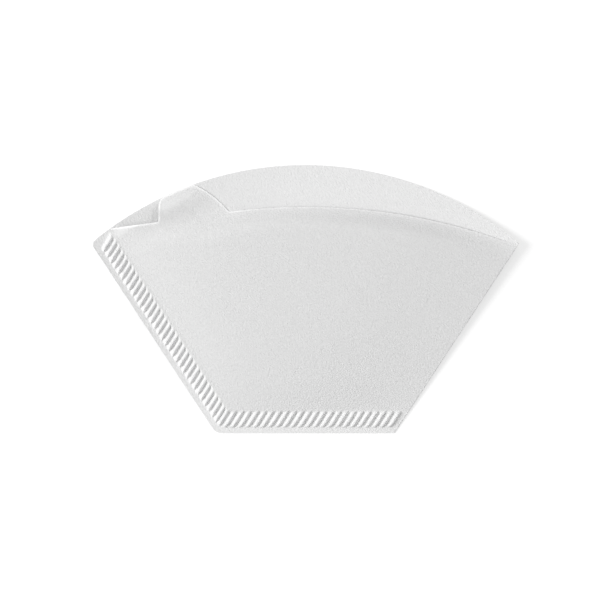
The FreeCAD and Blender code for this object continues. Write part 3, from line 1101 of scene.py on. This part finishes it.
        # painted highlight: near white on the front ply's cut edge, with a little fibre grain
        edge = nodes.math("MULTIPLY", nodes.attribute("cut_edge"), finish.highlight_share)
        whites = (finish.highlight_grey * finish.highlight_grain, finish.highlight_grey)
        white = nodes.ramp(fibre, finish.highlight_stops, whites)
        colour = nodes.blend(edge, plies, white)
        bump = nodes.add("ShaderNodeBump", Strength=1.0, Distance=finish.bump_depth, Height=tone)
        shader = nodes.add("ShaderNodeBsdfPrincipled", Base_Color=colour, Normal=bump.outputs[0])
        shader.inputs["Roughness"].default_value = finish.roughness
        shader.inputs["Specular IOR Level"].default_value = finish.specular
        output = nodes.add("ShaderNodeOutputMaterial")
        nodes.tree.links.new(shader.outputs[0], output.inputs["Surface"])
        return nodes.material

    def shades(self, nodes: Nodes, tone: Socket, grey: float) -> Socket:
        """Greys a little either side of one, that follow the tone of the fibres."""
        spread = self.finish.tone_spread
        greys = (grey * (1 - spread), grey * (1 + spread))
        return nodes.ramp(tone, self.finish.tone_stops, greys)

    def make(self) -> bpy.types.Object:
        """Builds the sheet, dresses it and ties it to the frame."""
        sheet = self.build()
        sheet.data.materials.append(self.paper())
        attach(sheet, "root")
        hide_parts("filter_paper")
        return sheet


@dataclass(frozen=True)
class Lamp:
    """A round soft lamp that points at the filter, in metres and watts."""

    name: str
    place: tuple[float, float, float]
    size: float
    power: float

    def make(self) -> None:
        """Hangs the lamp and turns it to the origin."""
        data = bpy.data.lights.new(self.name, "AREA")
        data.shape = "DISK"
        data.size = self.size
        data.energy = self.power
        lamp = placed(self.name, data)
        lamp.location = self.place
        x, y, z = self.place
        lamp.rotation_euler = (math.atan2(math.hypot(x, y), z), 0.0, math.atan2(y, x) + math.pi / 2)


@dataclass
class Studio:
    """White floor, soft lamps and a camera looking straight down."""

    frame_width: float = 0.23785
    centre: Pair = (0.00039, -0.0027)
    camera_height: float = 1.6
    sensor: float = 36.0
    clip: Pair = (0.01, 20.0)
    floor_size: float = 3.0
    floor_colour: float = 0.5
    floor_glow: float = 0.56
    key: Lamp = Lamp("key", (-1.26, 0.08, 0.7), 0.9, 24.0)
    fill: Lamp = Lamp("fill", (1.2, 0.05, 0.8), 0.9, 6.0)
    back: Lamp = Lamp("back", (0.1, 1.0, 1.0), 0.9, 2.4)
    world_strength: float = 0.33

    def camera(self) -> None:
        """Camera with a long lens, straight above the middle of the picture."""
        data = bpy.data.cameras.new("camera")
        data.sensor_width = self.sensor
        data.lens = self.sensor * self.camera_height / self.frame_width
        data.clip_start, data.clip_end = self.clip
        camera = placed("camera", data)
        camera.location = (*self.centre, self.camera_height)
        bpy.context.scene.camera = camera

    def floor_material(self) -> bpy.types.Material:
        """Matte white that the camera and reflections see a little brighter."""
        nodes = Nodes("studio_floor")
        grey = self.floor_colour
        matte = nodes.add("ShaderNodeBsdfDiffuse", Color=(grey, grey, grey, 1.0))
        rays = nodes.add("ShaderNodeLightPath").outputs
        seen = nodes.math("MAXIMUM", rays["Is Camera Ray"], rays["Is Glossy Ray"])
        seen = nodes.math("MAXIMUM", seen, rays["Is Transmission Ray"])
        strength = nodes.math("MULTIPLY", seen, self.floor_glow)
        glow = nodes.add("ShaderNodeEmission", Strength=strength)
        both = nodes.add("ShaderNodeAddShader")
        nodes.tree.links.new(matte.outputs[0], both.inputs[0])
        nodes.tree.links.new(glow.outputs[0], both.inputs[1])
        output = nodes.add("ShaderNodeOutputMaterial")
        nodes.tree.links.new(both.outputs[0], output.inputs["Surface"])
        return nodes.material

    def floor(self) -> None:
        """Wide flat floor just under the paper."""
        half = self.floor_size / 2
        corners = [(-half, -half, 0.0), (half, -half, 0.0), (half, half, 0.0), (-half, half, 0.0)]
        mesh = bpy.data.meshes.new("floor")
        mesh.from_pydata(corners, [], [(0, 1, 2, 3)])
        mesh.materials.append(self.floor_material())
        floor = placed("floor", mesh)

    def sky(self) -> None:
        """Even grey sky all round."""
        world = bpy.data.worlds.new("sky")
        world.use_nodes = True
        sky = world.node_tree.nodes["Background"]
        sky.inputs["Color"].default_value = (1.0, 1.0, 1.0, 1.0)
        sky.inputs["Strength"].default_value = self.world_strength
        bpy.context.scene.world = world

    def make(self) -> None:
        """Sets the stage."""
        self.camera()
        self.floor()
        for lamp in (self.key, self.fill, self.back):
            lamp.make()
        self.sky()
        bpy.context.scene.view_settings.view_transform = "Standard"


def main() -> None:
    """Builds the filter and its stage."""
    logging.basicConfig(level=logging.INFO, format="%(name)s: %(message)s")
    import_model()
    Studio().make()
    sheet = FilterPaper().make()
    LOG.info("made %s", sheet.name)


if __name__ == "__main__":
    main()
